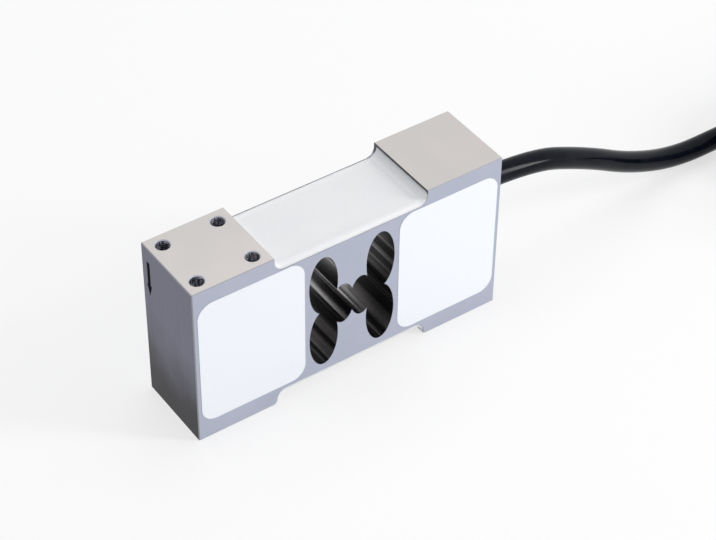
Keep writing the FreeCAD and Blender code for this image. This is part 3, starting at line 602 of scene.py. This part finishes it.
def end_sleeve():
    """A heat-shrunk sleeve over the jacket's cut end, drawn in a little past it."""
    profile = [
        (-11, 5.06), (-11, 5.5), (-10.8, 5.62), (-10.3, 5.66), (-4, 5.64), (-0.6, 5.66), (0.2, 5.5),
        (1.2, 4.9), (2.4, 4.35), (2.85, 4.2), (3, 4), (2.9, 3.7), (2.2, 3.85), (1.0, 4.4), (0.1, 4.95),
        (-0.5, 5.06),
    ]
    mesh = turned(profile, CABLE_END, (-1, 0, 0), 48)
    return piece(mesh_object(mesh, "shrunk_sleeve", SLEEVE_FILM), "sleeve", "end_sleeve")


def lead_line(start, length, tip):
    """A lead's control points, from the jacket outwards and down to its tip."""
    aside, fall = tip
    return [
        start + Vector((-share * length, side_share * aside, -fall_share * fall)) * MM
        for share, side_share, fall_share in LEAD_STEPS
    ]


def lead(colour, place, tip):
    """A coloured core with its last few millimetres stripped to the tinned strands."""
    right, up = place
    points = lead_line(CABLE_END + Vector((0, right, up)) * LEAD_OFFSET * MM, LEAD_LENGTH, tip)
    stripped = points[-2].lerp(points[-1], STRIPPED_FROM)
    core = points[:-1] + [stripped]
    mesh = add_cord(bmesh.new(), core, LEAD_DIAMETER / 2 * MM, resolution=10, sides=3)
    outwards = (points[-1] - points[-2]).normalized()
    middle = stripped.lerp(points[-1], 0.5)
    aside = outwards.orthogonal().normalized() * STRAND_PLACE * MM
    for turn in range(STRANDS):
        shift, twist, last = (
            Matrix.Rotation((turn + k) * 2 * math.pi / STRANDS, 3, outwards) @ aside for k in range(3)
        )
        strand = [stripped - outwards * STRAND_HIDDEN * MM + shift, middle + twist, points[-1] + last]
        add_cord(mesh, strand, STRAND_RADIUS * MM, resolution=8, sides=2, place=1)
    thing = mesh_object(mesh, f"core_end_{colour}", CORES[colour], STRAND)
    return piece(thing, f"core_{colour}", f"lead_{colour}")


def drain_wire():
    """The shield's tinned strands, twisted together."""
    route = lead_line(CABLE_END, SHIELD_LENGTH, SHIELD_TIP)
    cord = nurbs("drain_line", route, 0, STRAND, resolution=14, sides=1)
    cord.data.bevel_depth = 0
    line, curve = bpy.data.meshes.new_from_object(cord), cord.data
    path = [vertex.co.copy() for vertex in line.vertices]
    bpy.data.objects.remove(cord)
    bpy.data.curves.remove(curve)
    bpy.data.meshes.remove(line)
    mesh = bmesh.new()
    for turn in range(STRANDS):
        strand = []
        for k, spot in enumerate(path):
            ahead = (path[min(k + 1, len(path) - 1)] - path[max(k - 1, 0)]).normalized()
            side = ahead.cross(Vector((0, 0, 1))).normalized() * STRAND_PLACE * MM
            angle = turn * 2 * math.pi / STRANDS + k * SHIELD_TWIST
            strand.append(spot + Matrix.Rotation(angle, 3, ahead) @ side)
        add_cord(mesh, strand, STRAND_RADIUS * MM, resolution=3, sides=2)
    return piece(mesh_object(mesh, "shield_end", STRAND), "drain_wire", "lead_shield")


def hank_strap():
    """A cable tie round both sides of the hank: its strap, its head and the strap's cut end."""
    middle = NEAR_FOLD.lerp(FAR_FOLD, 0.5)
    half_width = FOLD_RADIUS + STRAP_CORNER - WAIST
    mesh = bmesh.new()
    corners = [
        (-half_width, STRAP_LOW),
        (half_width, STRAP_LOW),
        (half_width, STRAP_HIGH),
        (-half_width, STRAP_HIGH),
    ]
    loop = mesh.faces.new([mesh.verts.new(middle + Vector((-STRAP_WIDTH / 2, y, z))) for y, z in corners])
    rounded = dict(profile=0.5, material=-1)
    bmesh.ops.bevel(
        mesh, geom=loop.verts[:], offset=STRAP_CORNER, segments=8, affect="VERTICES", **rounded
    )
    rim = mesh.edges[:]
    bmesh.ops.delete(mesh, geom=mesh.faces[:], context="FACES_ONLY")
    made = bmesh.ops.extrude_edge_only(mesh, edges=rim)["geom"]
    far_rim = [part for part in made if isinstance(part, bmesh.types.BMVert)]
    bmesh.ops.translate(mesh, verts=far_rim, vec=(STRAP_WIDTH, 0, 0))
    bmesh.ops.recalc_face_normals(mesh, faces=mesh.faces)
    bmesh.ops.solidify(mesh, geom=mesh.faces[:], thickness=-STRAP_THICKNESS)
    # The head and the cut end, each with its size, its place aside and up, and its rounding in millimetres.
    for size, (aside, up), rounding in (
        ((6.4, 4.2, 8), (-2.6, 10), 0.7),
        ((4.5, 1.1, 12), (-3.2, 13), 0.25),
    ):
        block = bmesh.ops.create_cube(mesh, size=MM)["verts"]
        bmesh.ops.scale(mesh, verts=block, vec=size)
        bmesh.ops.translate(mesh, verts=block, vec=middle + Vector((0, aside * MM - half_width, up * MM)))
        edges = list({edge for vertex in block for edge in vertex.link_edges})
        bmesh.ops.bevel(mesh, geom=edges, offset=rounding * MM, segments=3, affect="EDGES", **rounded)
    return piece(crisp(mesh_object(mesh, "hank_strap", TIE_NYLON), 40), "tie", "hank_tie")


# The studio


def floor_paint():
    """A pale floor that the camera and mirrors see nearly white, and that keeps the object's shadow."""
    paint = Finish("floor_paint", (0.94, 0.94, 0.945), 0.9, Specular_IOR_Level=0.1)
    paint.feed(Roughness=paint.spread(paint.noise(3), 0.3, 0.7, 0.85, 0.95))
    white = paint.add("ShaderNodeEmission", {"Color": (1, 1, 1, 1), "Strength": 1.0})
    rays = paint.add("ShaderNodeLightPath").outputs
    mirrored = paint.math("MAXIMUM", rays["Is Glossy Ray"], rays["Is Transmission Ray"])
    seen = paint.math("MAXIMUM", rays["Is Camera Ray"], mirrored)
    mixed = paint.add("ShaderNodeMixShader", {0: paint.spread(seen, 0, 1, 0, FLOOR_WHITE)})
    paint.join(paint.shader.outputs[0], mixed.inputs[1])
    paint.join(white.outputs[0], mixed.inputs[2])
    paint.join(mixed.outputs[0], paint.tree.nodes["Material Output"].inputs["Surface"])
    return paint.material


def plain_world():
    """A world that lights evenly, and that the camera and mirrors see white."""
    world = bpy.data.worlds.new("plain_world")
    bpy.context.scene.world = world
    world.use_nodes = True
    nodes, links = world.node_tree.nodes, world.node_tree.links
    light, rays = nodes["Background"], nodes.new("ShaderNodeLightPath").outputs
    light.inputs["Color"].default_value = (*WORLD_TINT, 1)
    mirrored, seen, strength = (nodes.new(f"ShaderNode{kind}") for kind in ("Math", "Math", "MapRange"))
    for node, first, second in (
        (mirrored, rays["Is Glossy Ray"], rays["Is Transmission Ray"]),
        (seen, rays["Is Camera Ray"], mirrored.outputs[0]),
    ):
        node.operation = "MAXIMUM"
        links.new(first, node.inputs[0])
        links.new(second, node.inputs[1])
    strength.inputs["To Min"].default_value = WORLD_LIGHT
    links.new(seen.outputs[0], strength.inputs["Value"])
    links.new(strength.outputs[0], light.inputs["Strength"])


def studio():
    """A pale floor, a plain world and soft lamps."""
    mesh = bmesh.new()
    bmesh.ops.create_grid(mesh, x_segments=1, y_segments=1, size=FLOOR_HALF)
    mesh_object(mesh, "floor", floor_paint(), smooth=False)
    plain_world()
    for name, place, energy, size, tint in LAMPS:
        lamp = bpy.data.lights.new(name, "AREA")
        lamp.shape, lamp.energy, lamp.color = "RECTANGLE", energy, tint
        lamp.size, lamp.size_y = size
        thing = bpy.data.objects.new(name, lamp)
        thing.location = place
        thing.rotation_euler = (LAMP_AIM - Vector(place)).to_track_quat("-Z", "Y").to_euler()
        bpy.context.scene.collection.objects.link(thing)


def photo_camera():
    """The camera at the photograph's viewing angle."""
    data = bpy.data.cameras.new("photo_camera")
    data.lens = CAMERA_LENS
    data.clip_start, data.clip_end = 0.01, 20
    camera = bpy.data.objects.new("photo_camera", data)
    facing = (CAMERA_AIM - CAMERA_PLACE).to_track_quat("-Z", "Y").to_matrix().to_4x4()
    camera.matrix_world = Matrix.Translation(CAMERA_PLACE) @ facing @ Matrix.Rotation(CAMERA_ROLL, 4, "Z")
    bpy.context.scene.collection.objects.link(camera)
    bpy.context.scene.camera = camera


# The finishes, each made once

BEAM_METAL = beam_metal()
THREAD_METAL = thread_metal()
SILICONE = coating_silicone()
JACKET = jacket_rubber()
GROMMET_RUBBER = two_tone("grommet_rubber", (0.014, 0.014, 0.016), (0.026, 0.026, 0.028), 0.6, scale=2200)
LABEL_FILM = two_tone("label_film", (0.87, 0.895, 0.945), (0.90, 0.92, 0.96), 0.4, scale=1400, depth=0.03)
ARROW_PAINT = two_tone(
    "arrow_paint", (0.003, 0.003, 0.006), (0.007, 0.007, 0.01), 0.85, Specular_IOR_Level=0.05
)
SLEEVE_FILM = two_tone("sleeve_film", (0.01, 0.01, 0.011), (0.02, 0.02, 0.022), 0.35, scale=500)
TIE_NYLON = two_tone("tie_nylon", (0.012, 0.012, 0.013), (0.03, 0.03, 0.032), 0.45, scale=700, depth=0.4)
STRAND = two_tone("tinned_strand", (0.5, 0.49, 0.46), (0.68, 0.67, 0.64), 0.3, 1.0, scale=4000, depth=0.3)
CORES = {
    "red": two_tone("core_red", (0.5, 0.02, 0.016), (0.62, 0.035, 0.025), 0.4),
    "black": two_tone("core_black", (0.012, 0.012, 0.013), (0.022, 0.022, 0.024), 0.4),
    "green": two_tone("core_green", (0.02, 0.24, 0.05), (0.035, 0.32, 0.08), 0.4),
    "white": two_tone("core_white", (0.76, 0.76, 0.74), (0.84, 0.84, 0.82), 0.4),
}
GAUGE_FILM = two_tone("gauge_film", (0.5, 0.2, 0.02), (0.58, 0.26, 0.04), 0.35)
GAUGE_FOIL = two_tone("gauge_foil", (0.55, 0.4, 0.24), (0.66, 0.5, 0.32), 0.3, 1.0)
BOARD_LAMINATE = two_tone("board_laminate", (0.02, 0.12, 0.04), (0.03, 0.17, 0.06), 0.4)
SOLDER = two_tone("solder", (0.6, 0.6, 0.58), (0.72, 0.72, 0.7), 0.25, 1.0, depth=0.4)
RESISTOR_BODY = two_tone("resistor_body", (0.01, 0.01, 0.01), (0.03, 0.03, 0.03), 0.5)
ENAMEL = two_tone("enamel", (0.45, 0.16, 0.05), (0.58, 0.24, 0.08), 0.25, 0.8)
SEALANT = two_tone("sealant", (0.7, 0.72, 0.72), (0.8, 0.82, 0.82), 0.45, depth=0.3)

# The making: the camera and the cable come first

photo_camera()
studio()
CABLE = cable()
ON_CABLE = [grommet(), end_sleeve(), hank_strap(), drain_wire()]
ON_CABLE += [lead(colour, place, tip) for colour, (place, tip) in LEADS.items()]
threads()
coating("top_coat", BEAM_HIGH.z - RECESS_DEPTH, 1, "top_coating")
coating("bottom_coat", BEAM_LOW.z + RECESS_DEPTH, -1, "bottom_coating")

GAUGES = [f"{face}_{end}" for face in ("top", "bottom") for end in ("live", "fixed")]
dressed(BEAM_METAL, "spring_element")
dressed(LABEL_FILM, "label_left", "label_right")
dressed(ARROW_PAINT, "load_arrow")
dressed(GAUGE_FILM, *(f"gauge_carrier_{gauge}" for gauge in GAUGES))
dressed(GAUGE_FOIL, *(f"gauge_grid_{gauge}" for gauge in GAUGES))
dressed(BOARD_LAMINATE, "terminal_board")
dressed(SOLDER, "terminal_pads")
dressed(RESISTOR_BODY, "resistor_zero", "resistor_span", "resistor_temperature")
dressed(ENAMEL, "top_gauge_leads", "bottom_gauge_leads")
dressed(SEALANT, "bore_sealant")
for colour, finish in CORES.items():
    dressed(finish, f"core_{colour}")

bpy.context.scene.view_settings.view_transform = "Standard"
